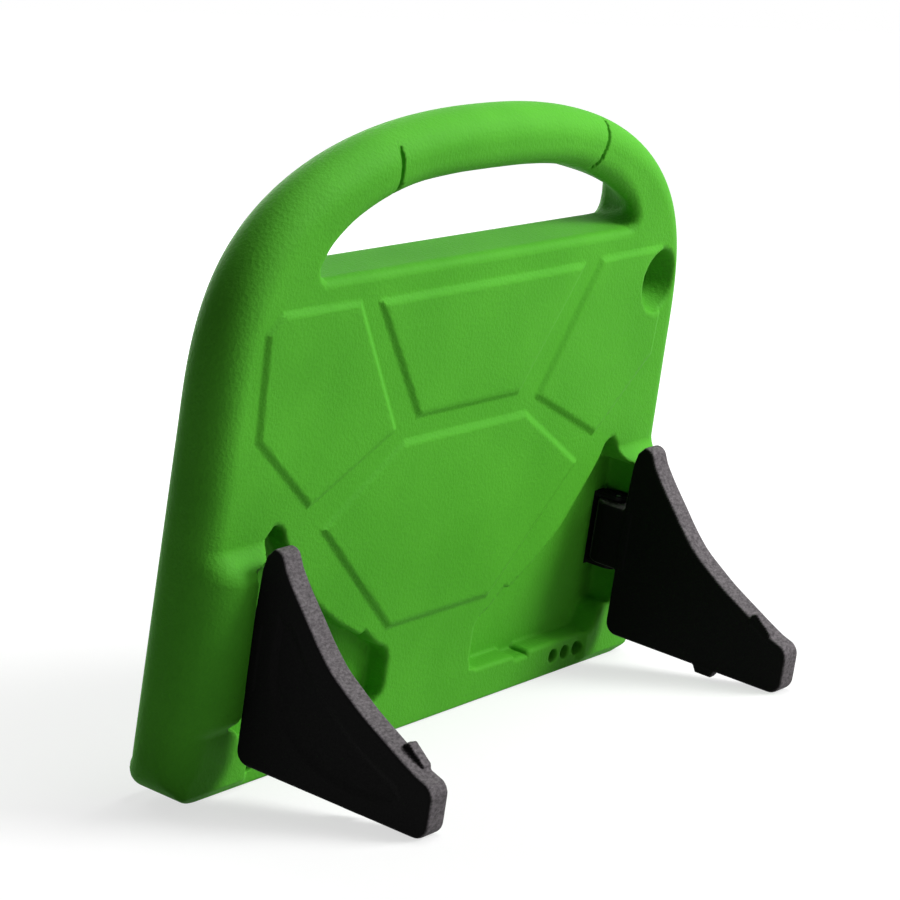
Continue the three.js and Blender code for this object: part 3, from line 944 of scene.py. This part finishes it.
@dataclass
class FoamCase:
    """Foam body: rounded plate with an arched handle, tablet pocket, pads and hinge housings."""

    leg: StandLeg
    width: float = 240.0
    taper: float = 0.018
    depth: float = 21.0
    shoulder: float = 110.0
    crown: float = 194.5
    squareness: float = 2.28
    flatness: float = 3.05
    corner: float = 11.0
    side_fillets: Point = (10.0, 9.0)
    base_fillets: Point = (5.0, 1.2)
    grip_fillets: Point = (10.8, 9.5)
    bar_height: float = 18.4
    sill: float = 151.4
    sill_rise: float = 0.9
    opening_widths: Point = (174.0, 163.0)
    pocket: tuple[Point, Point] = ((-106.75, 12.3), (106.75, 138.0))
    seat: float = -10.1
    lip: float = 2.4
    lip_overlap: float = 6.0
    pad_height: float = 1.15
    pad_slope: float = 2.8
    housing_proud: float = 6.8
    housing_foot: float = 1.6
    housing_span: Point = (20.0, 77.0)
    housing_fades: Point = (7.0, 10.0)
    recess_floor: float = -7.6
    groove_width: float = 1.5
    groove_depth: float = 1.2
    pocket_corner: float = 8.0
    screen_corner: float = 6.0
    camera: Point = (-99.85, 132.0)
    camera_radius: float = 10.4
    camera_lift: float = 0.2
    camera_narrowing: float = 0.3
    hinge_clearance: float = 0.7
    hinge_room_half: float = 13.2
    hinge_room_top: float = 2.6
    recess_clearance: float = 1.2
    heel_room: tuple[Point, Point] = ((88.0, 20.5), (101.0, 70.3))
    sound_places: Place = (72.3, 79.2, 86.1)
    sound_height: float = 6.5
    sound_radius: float = 2.3
    sound_depth: float = 12.0
    front_rim: Place = (5.0, 5.0, 6.5)
    back_rim: Place = (3.0, 3.0, 6.5)
    front_arch: tuple[Point, ...] = (
        (1, 0.1), (0.985, 0.3), (0.94, 0.41), (0.86, 0.52), (0.64, 0.71), (0.46, 0.87),
        (0.23, 0.975), (0, 1),
    )
    back_arch: tuple[Point, ...] = (
        (1, 0), (0.96, 0.19), (0.885, 0.375), (0.745, 0.635), (0.61, 0.81), (0.465, 0.925),
        (0.23, 0.99), (0, 1),
    )
    side_pad: tuple[Point, ...] = (
        (98.0, 143.6), (62.9, 143.0), (37.2, 101.4), (74.3, 83.9), (102.0, 107.4),
        (103.6, 138.4),
    )
    top_pad: tuple[Point, ...] = ((-26.0, 104.2), (26.0, 104.2), (53.0, 142.3), (-53.0, 142.3))
    middle_pad: tuple[Point, ...] = (
        (-26.0, 37.2), (26.0, 37.2), (66.0, 75.3), (31.6, 96.7), (-31.6, 96.7), (-66.0, 75.3),
    )

    def outline(self) -> Outline:
        """Outline of the case.

        Returns:
            The outline. Its sizes are its front and back fillets and how far it faces down.
        """
        half = self.width / 2
        top = half - self.taper * self.shoulder
        rise = self.crown - self.shoulder
        right = arc((half - self.corner, self.corner), self.corner, -90, 0, 10)
        for t in np.linspace(0, math.pi / 2, 90)[:-1]:
            right.append((
                top * math.cos(t) ** (2 / self.squareness),
                self.shoulder + rise * math.sin(t) ** (2 / self.flatness),
            ))
        points = both_halves(right, (0.0, self.crown))
        down = facing_down(points)
        height = np.array(points)[:, 1]
        over = smooth((height - self.shoulder) / (self.sill - self.shoulder))
        fillets = zip(self.base_fillets, self.side_fillets, self.grip_fillets)
        sizes = [
            base * down + (1 - down) * (side + (grip - side) * over)
            for base, side, grip in fillets
        ]
        return Outline(points, np.stack([*sizes, down], axis=1))

    def opening(self, width: float, shape: Sequence[Point], rim: Place, sill: float) -> Outline:
        """Outline of the finger opening at one face.

        Args:
            width: Width of the opening there.
            shape: Arch from its end to its crown, as shares of half its width and of its rise.
            rim: Fillets of the sill, of the ends and of the bar.
            sill: Height of the sill there.

        Returns:
            The outline, with its fillet.
        """
        half, radius = width / 2, 3.4
        spring = sill + 3.6
        rise = self.crown - self.bar_height - spring
        arch = curve_through([(half * u, spring + rise * v) for u, v in shape], 5)
        right = [*arc((half - radius, sill + radius), radius, -90, -10, 5), *arch[:-1]]
        points = both_halves(right, arch[-1])
        down = facing_down(points)
        over = smooth((np.array(points)[:, 1] - spring) / 12.0)
        sizes = rim[0] * down + (1 - down) * (rim[1] + (rim[2] - rim[1]) * over)
        return Outline(points, sizes[:, None])

    def folded(self, profile: Sequence[Point]) -> list[Point]:
        """Turn a leg outline into the one it has when folded flat against the back."""
        shift = self.leg.hinge[0] + self.leg.hinge[1]
        return [(shift - y, z) for y, z in profile]

    def housing(self, side: Field, z: Field) -> Field:
        """Height of the hinge housing above the back.

        Args:
            side: Distance from the middle of the case.
            z: Height.

        Returns:
            The height of the housing.
        """
        (low, high), (rise, fall) = self.housing_span, self.housing_fades
        foot = self.housing_foot * smooth((z - 0.5) / 3.0)
        upper = (self.housing_proud - self.housing_foot) * smooth((z - low) / rise)
        return (foot + upper) * smooth((high - z) / fall) * smooth((side - 86.0) / 4.0)

    def tablet_room(self, x: Field, y: Field, z: Field) -> tuple[Field, Field]:
        """Room of the tablet, and the screen opening in the lip before it.

        Args:
            x: Places along X.
            y: Places along Y.
            z: Places along Z.

        Returns:
            Two fields, negative inside.
        """
        (low_x, low_z), (high_x, high_z) = self.pocket
        pocket = box_distance(x, z, *self.pocket, self.pocket_corner)
        lip_face = self.lip - self.depth
        inset = self.lip_overlap
        screen = box_distance(
            x, z, (low_x + inset, low_z + inset), (high_x - inset, high_z - inset),
            self.screen_corner,
        )
        room = both(both(pocket, y - self.seat, 0.4), lip_face - y, 0.4)
        return room, both(screen, y - lip_face - 1.0)

    def camera_room(self, x: Field, y: Field, z: Field) -> Field:
        """Camera hole: a cone that narrows and rises towards the front."""
        across, up = self.camera
        sunk = np.clip(-y, 0.0, 12.0)
        away = np.sqrt((x - across) ** 2 + (z - up - self.camera_lift * sunk) ** 2)
        # The share makes up for the slope of the cone, whose distance runs a little long.
        cone = (away - self.camera_radius + self.camera_narrowing * sunk) * 0.93
        return both(cone, self.seat - 1.0 - y)

    def hinge_room(self, side: Field, y: Field, z: Field) -> Field:
        """Hollow that the bracket and the knuckle of a hinge sit in."""
        hinge_x, hinge_y = self.leg.hinge
        along = np.abs(z - sum(self.leg.knuckle) / 2) - self.hinge_room_half
        away = np.sqrt((side - hinge_x) ** 2 + (y - hinge_y) ** 2)
        knuckle = away - self.leg.knuckle_radius - self.hinge_clearance
        return both(np.maximum(knuckle, y - hinge_y - self.hinge_room_top), along, 0.4)

    def base_rooms(self, x: Field, y: Field, z: Field) -> tuple[Field, Field]:
        """Sound holes and the shallow slot, in the band under the recesses."""
        offset = np.abs(np.abs(x) - self.sound_places[0])
        for place in self.sound_places[1:]:
            offset = np.minimum(offset, np.abs(np.abs(x) - place))
        sound = np.sqrt(offset ** 2 + (z - self.sound_height) ** 2) - self.sound_radius
        level = z - 0.03 * (x + 38.0)
        slot = both(box_distance(x, level, (-53.3, 11.9), (-23.5, 15.3), 0.7), -1.3 - y, 0.4)
        deeper = both(box_distance(x, level, (-53.3, 12.2), (-41.0, 15.0), 1.2), -4.5 - y, 0.5)
        return both(sound, -self.sound_depth - y, 0.6), np.minimum(slot, deeper)

    def groove(self, body: Field, x: Field, y: Field, z: Field) -> Field:
        """Thin lines across the handle, one upright at +X and one slanted at -X.

        Args:
            body: Distance to the case without them.
            x: Places along X.
            y: Places along Y.
            z: Places along Z.

        Returns:
            The field, negative inside.
        """
        slant = np.where(x > 0, x - 50.7, (-x - 56.4 - 0.55 * (z - 180.5)) * 0.876)
        end = np.where((x > 0) == (z > 180.6), 5.0, 8.0)
        fade = smooth((y + end) / 3.0) * smooth((z - 165.0) / 4.0)
        depth = self.groove_depth * fade - 1.5 * (1.0 - fade)
        return both(np.abs(slant) - self.groove_width / 2, -(body + depth), 0.2)

    def field(self) -> Solid:
        """Distance field of the foam case.

        Returns:
            The field, negative inside.
        """
        case = self.outline()
        wide, narrow = self.opening_widths
        front_opening = self.opening(
            wide, self.front_arch, self.front_rim, self.sill + self.sill_rise
        )
        back_opening = self.opening(narrow, self.back_arch, self.back_rim, self.sill)
        pads = [Outline(shape) for shape in (self.side_pad, self.top_pad, self.middle_pad)]
        grow = self.recess_clearance
        leg = self.leg
        rooms = [
            Outline(self.folded(shape))
            for shape in (leg.profile(grow), leg.foot_nub(grow / 2), leg.catch_room(grow))
        ]

        def solid(x: Field, y: Field, z: Field) -> Field:
            """Distance at one place or many."""
            side = np.abs(x)
            edge, (front, back, down) = case.measure(x, z)
            raised = np.zeros_like(edge)
            for pad in pads:
                slope = (self.pad_slope / 2 - pad.distance(side, z)) / self.pad_slope
                raised = np.maximum(raised, smooth(slope))
            housing = self.housing(side, z)
            face = y - self.pad_height * raised - housing
            plate = both(edge, face, back + (1.0 - down) * housing)
            body = both(plate, -self.depth - y, front)
            across = smooth((y + self.depth) / self.depth)
            far, (far_rim,) = front_opening.measure(x, z)
            near, (near_rim,) = back_opening.measure(x, z)
            gap = far + (near - far) * across
            body = both(body, -gap, far_rim + (near_rim - far_rim) * across)
            tablet, screen = self.tablet_room(x, y, z)
            room = rooms[0].distance(side, z)
            for other in rooms[1:]:
                room = either(room, other.distance(side, z), 1.0)
            room = either(room, box_distance(side, z, *self.heel_room, 2.5), 5.0)
            recess = both(room, self.recess_floor - y, 1.2)
            recess_edge = 1.3 - 0.8 * smooth((side - 97.0) / 3.0)
            sound, slot = self.base_rooms(x, y, z)
            for cut, edge_radius in (
                (tablet, 0.4), (screen, 0.9), (self.camera_room(x, y, z), 1.2),
                (recess, recess_edge), (self.hinge_room(side, y, z), 0.3), (sound, 0.5),
                (slot, 0.5),
            ):
                body = both(body, -cut, edge_radius)
            return both(body, -self.groove(body, x, y, z), 0.3)

        return solid

    def grid(self, pitch: float) -> tuple[Field, Field, Field]:
        """Grid lines: closer together where the grooves, sound holes and edges are.

        Args:
            pitch: Usual distance between two lines, in millimetres.

        Returns:
            Lines along X, Y and Z.
        """

        def spread(low: float, high: float, fine: Sequence[Place]) -> Field:
            """Lines from low to high, closer by the given share within the fine spans."""
            lines = [low]
            while lines[-1] < high:
                here = lines[-1]
                shares = [share for start, end, share in fine if start <= here <= end]
                lines.append(here + pitch * min(shares, default=1.0))
            return np.array(lines)

        half = self.width / 2 + 2.5
        xs = spread(-half, half, (
            (-106.5, -100.5, 0.55), (-88.5, -70.0, 0.6), (-61.5, -52.5, 0.33), (-54.5, -40.0, 0.6),
            (49.3, 52.2, 0.3), (70.0, 88.5, 0.6), (100.5, 106.5, 0.55),
        ))
        ys = spread(
            -self.depth - 2.5, self.housing_proud + 2.5, ((-1.6, 2.0, 0.5), (-8.5, -6.0, 0.7))
        )
        zs = spread(
            -2.5, self.crown + 2.5, ((-1.0, 3.0, 0.5), (3.0, 16.0, 0.6), (68.0, 78.0, 0.7))
        )
        return xs, ys, zs

    def build(self, pitch: float) -> Piece:
        """Build the foam case.

        Args:
            pitch: Grid pitch in millimetres.

        Returns:
            The case's object.
        """
        solid = self.field()
        points, faces = lay_net(solid, *self.grid(pitch))
        points, normals = settle(solid, points, 3, pitch * 0.6)
        return mesh_object("foam_shell", LEAN.place(points), faces, LEAN.turn(normals))


# Hinges.


@dataclass
class Hinge:
    """Bracket and pin that carry one leg."""

    pin_radius: float = 1.2
    pin_span: Point = (33.2, 57.8)
    centre: Point = (98.8, -0.7)
    edge_radius: float = 0.35

    def bracket(self, node: str) -> Piece:
        """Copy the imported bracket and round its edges.

        Args:
            node: Name of the bracket's node.

        Returns:
            The new piece.
        """
        source = frame["nodes"][node]
        work = bmesh.new()
        work.from_mesh(source.data)
        bmesh.ops.remove_doubles(work, verts=work.verts, dist=1e-6)
        mesh = bpy.data.meshes.new(node + "_moulded")
        work.to_mesh(mesh)
        work.free()
        mesh.polygons.foreach_set("use_smooth", [True] * len(mesh.polygons))
        made = link_object(node + "_moulded", mesh)
        rounding = made.modifiers.new("rounded edges", "BEVEL")
        rounding.width = self.edge_radius * MM
        rounding.segments = 2
        rounding.limit_method = "ANGLE"
        rounding.angle_limit = math.radians(35)
        rounding.harden_normals = True
        return made

    def pin_tree(self) -> Tree:
        """Node tree of a pin: a round bar swept along its axis, slimmed at both ends.

        Returns:
            The tree, whose inputs are the pin's sizes and its finish.
        """
        tree = bpy.data.node_groups.new("hinge_pin_sweep", "GeometryNodeTree")
        for name in ("Pin radius", "Half length", "Chamfer"):
            tree.interface.new_socket(name=name, in_out="INPUT", socket_type="NodeSocketFloat")
        tree.interface.new_socket(name="Finish", in_out="INPUT", socket_type="NodeSocketMaterial")
        tree.interface.new_socket(
            name="Geometry", in_out="OUTPUT", socket_type="NodeSocketGeometry"
        )
        add = partial(add_node, tree)
        given = add("NodeGroupInput", {})
        half = given.outputs["Half length"]
        flipped = add("ShaderNodeMath", {0: half, 1: -1.0}, operation="MULTIPLY")
        low = add("ShaderNodeCombineXYZ", {"Z": flipped})
        high = add("ShaderNodeCombineXYZ", {"Z": half})
        line = add("GeometryNodeCurvePrimitiveLine", {"Start": low, "End": high})
        points = add("GeometryNodeResampleCurve", {"Curve": line, "Count": 80})
        place = add("GeometryNodeInputPosition", {})
        split = add("ShaderNodeSeparateXYZ", {"Vector": place})
        away = add("ShaderNodeMath", {0: split.outputs["Z"]}, operation="ABSOLUTE")
        inset = add("ShaderNodeMath", {0: half, 1: away}, operation="SUBTRACT")
        share = add(
            "ShaderNodeMapRange",
            {
                "Value": inset, "From Min": 0.0, "From Max": given.outputs["Chamfer"],
                "To Min": 0.72, "To Max": 1.0,
            },
        )
        width = add(
            "ShaderNodeMath", {0: share, 1: given.outputs["Pin radius"]}, operation="MULTIPLY"
        )
        ring = add("GeometryNodeCurvePrimitiveCircle", {"Resolution": 32, "Radius": 1.0})
        swept = add(
            "GeometryNodeCurveToMesh",
            {"Curve": points, "Profile Curve": ring, "Scale": width, "Fill Caps": True},
        )
        solid = add("GeometryNodeRealizeInstances", {0: swept})
        finish = add(
            "GeometryNodeSetMaterial", {"Geometry": solid, "Material": given.outputs["Finish"]}
        )
        add("NodeGroupOutput", {"Geometry": finish})
        return tree

    def pin(self, name: str, side: int, finish: Finish, tree: Tree) -> Piece:
        """Build one hinge pin.

        Args:
            name: Name of the piece.
            side: 1 for the +X side, -1 for the other.
            finish: Its material.
            tree: Node tree that sweeps it.

        Returns:
            The pin's object.
        """
        host = link_object(name + "_host", bpy.data.meshes.new(name + "_host"))
        modifier = host.modifiers.new("sweep", "NODES")
        modifier.node_group = tree
        sizes = {
            "Pin radius": self.pin_radius * MM,
            "Half length": (self.pin_span[1] - self.pin_span[0]) / 2 * MM,
            "Chamfer": 0.5 * MM,
            "Finish": finish,
        }
        for socket in tree.interface.items_tree:
            if socket.in_out == "INPUT":
                modifier[socket.identifier] = sizes[socket.name]
        graph = bpy.context.evaluated_depsgraph_get()
        mesh = bpy.data.meshes.new_from_object(host.evaluated_get(graph), depsgraph=graph)
        middle = (self.centre[0] * side, self.centre[1], sum(self.pin_span) / 2)
        mesh.transform(LEAN.matrix @ Matrix.Translation(middle) @ Matrix.Scale(METRE, 4))
        work = bmesh.new()
        work.from_mesh(mesh)
        bmesh.ops.remove_doubles(work, verts=work.verts, dist=1e-6)
        bmesh.ops.recalc_face_normals(work, faces=work.faces)
        for face in work.faces:
            face.smooth = len(face.verts) < 5
        work.to_mesh(mesh)
        work.free()
        bpy.data.objects.remove(host)
        return link_object(name, mesh)


# Stage.


def seen_rays(add: Adder) -> bpy.types.Node:
    """Add a mask of the rays that see the backdrop: camera, glossy and transmission rays.

    Args:
        add: What adds a node to the tree that takes the mask.

    Returns:
        The node whose first output is 1 on those rays and 0 on the others.
    """
    path = add("ShaderNodeLightPath", {}).outputs
    two = {0: path["Is Camera Ray"], 1: path["Is Glossy Ray"]}
    direct = add("ShaderNodeMath", two, operation="MAXIMUM")
    three = {0: direct, 1: path["Is Transmission Ray"]}
    return add("ShaderNodeMath", three, operation="MAXIMUM")


@dataclass
class Studio:
    """Floor, lights and camera."""

    lens: float = 126.66
    camera_place: Place = (772.106, 511.928, 357.020)
    camera_right: Place = (-0.58381761, 0.79934511, 0.14214218)
    camera_up: Place = (-0.14646686, -0.27590024, 0.94996132)
    camera_ahead: Place = (-0.798564, -0.53378503, -0.27815299)

    def camera(self) -> None:
        """Set the camera where the photograph was taken from."""
        data = bpy.data.cameras.new("camera")
        data.lens = self.lens
        data.sensor_width = 36.0
        data.sensor_fit = "HORIZONTAL"
        data.clip_start = 0.01
        data.clip_end = 50.0
        made = link_object("camera", data)
        turn = LEAN.matrix.to_3x3() * METRE
        right = turn @ Vector(self.camera_right)
        up = turn @ Vector(self.camera_up)
        back = turn @ -Vector(self.camera_ahead)
        facing = Matrix((right, up, back)).transposed().to_4x4()
        place = LEAN.matrix @ Vector(self.camera_place)
        made.matrix_world = Matrix.Translation(place) @ facing
        bpy.context.scene.camera = made

    def lamp(self, name: str, place: Place, size: float, watts: float) -> None:
        """Hang a square soft box that faces the case.

        Args:
            name: Name of the lamp.
            place: Where it hangs, in metres.
            size: Side of the soft box.
            watts: Its power.
        """
        data = bpy.data.lights.new(name, "AREA")
        data.shape = "SQUARE"
        data.size = size
        data.energy = watts
        made = link_object(name, data)
        made.location = place
        aim = Vector((0.0, 0.0, 0.09)) - Vector(place)
        made.rotation_euler = aim.to_track_quat("-Z", "Y").to_euler()

    def world(self) -> None:
        """Light the scene softly and show white behind it."""
        world = bpy.data.worlds.new("studio")
        bpy.context.scene.world = world
        world.use_nodes = True
        world.node_tree.nodes.clear()
        add = partial(add_node, world.node_tree)
        seen = seen_rays(add)
        white = linear("FFFFFF")
        soft = add("ShaderNodeBackground", {"Color": white, "Strength": 0.03})
        full = add("ShaderNodeBackground", {"Color": white, "Strength": 1.0})
        mix = add("ShaderNodeMixShader", {0: seen, 1: soft, 2: full})
        add("ShaderNodeOutputWorld", {"Surface": mix})

    def floor(self) -> Piece:
        """Lay a wide pale floor that keeps the case's shadow.

        Returns:
            The floor.
        """
        half = 4.0
        corners = np.array(((-1, -1, 0), (1, -1, 0), (1, 1, 0), (-1, 1, 0))) * half
        made = mesh_object("floor", corners, np.array(((0, 1, 2, 3),)))
        finish, add, place = begin_finish("matt_white_paper")
        fibre = add("ShaderNodeTexNoise", {"Vector": place, "Scale": 600.0, "Detail": 2.0})
        # The paper itself is grey, so that it throws little light back on the case. It shows
        # white to the camera through a glow that is weaker near the case, where its shadow is.
        colour = two_tone(add, fibre, (0.3, 0.7), "9C9C9C", "A0A0A0")
        paper = add("ShaderNodeBsdfDiffuse", {"Color": colour})
        away = add("ShaderNodeVectorMath", {0: place}, operation="LENGTH").outputs["Value"]
        whiter = add(
            "ShaderNodeMapRange",
            {"Value": away, "From Min": 0.12, "From Max": 0.75, "To Min": 0.66, "To Max": 1.0},
        )
        lift = add("ShaderNodeMath", {0: seen_rays(add), 1: whiter}, operation="MULTIPLY")
        glow = add("ShaderNodeEmission", {"Color": linear("FFFFFF"), "Strength": lift})
        sheet = add("ShaderNodeAddShader", {0: paper, 1: glow})
        add("ShaderNodeOutputMaterial", {"Surface": sheet})
        made.data.materials.append(finish)
        return made

    def build(self) -> None:
        """Set up everything around the case."""
        bpy.context.scene.view_settings.view_transform = "Standard"
        self.camera()
        self.world()
        self.lamp("key_soft_box", (-0.75, 0.92, 0.85), 0.6, 21.0)
        self.lamp("top_soft_box", (-0.3, 0.15, 1.2), 0.45, 6.4)
        self.lamp("back_fill", (-0.2, 1.25, 0.35), 0.9, 3.4)
        self.lamp("screen_side_fill", (-0.6, -1.1, 0.5), 0.9, 11.0)
        self.floor()


def main() -> None:
    """Build every piece and log the face counts of the foam, the legs and the pins."""
    logging.basicConfig(level=logging.INFO, format="%(message)s")
    Studio().build()
    leg = StandLeg()
    case = FoamCase(leg=leg)
    foam = case.build(1.3)
    foam.data.materials.append(FoamFinish().material())
    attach(foam, "case")
    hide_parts("foam_case")
    log.info("foam_shell: %d faces", len(foam.data.polygons))
    leg_finish = LegFinish().material()
    bracket_finish = BracketFinish().material()
    pin_finish = PinFinish().material()
    hinge = Hinge()
    tree = hinge.pin_tree()
    for word, side in (("left", 1), ("right", -1)):
        plate = leg.build(f"{word}_leg_moulded", side, 0.6)
        plate.data.materials.append(leg_finish)
        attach(plate, f"{word}_leg")
        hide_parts(f"{word}_leg")
        log.info("%s: %d faces", plate.name, len(plate.data.polygons))
        bracket = hinge.bracket(f"{word}_hinge_bracket")
        bracket.data.materials.append(bracket_finish)
        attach(bracket, "case")
        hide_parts(f"{word}_hinge_bracket")
        pin = hinge.pin(f"{word}_pin_drawn", side, pin_finish, tree)
        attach(pin, "case")
        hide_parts(f"{word}_hinge_pin")
        log.info("%s: %d faces", pin.name, len(pin.data.polygons))


if __name__ == "__main__":
    main()
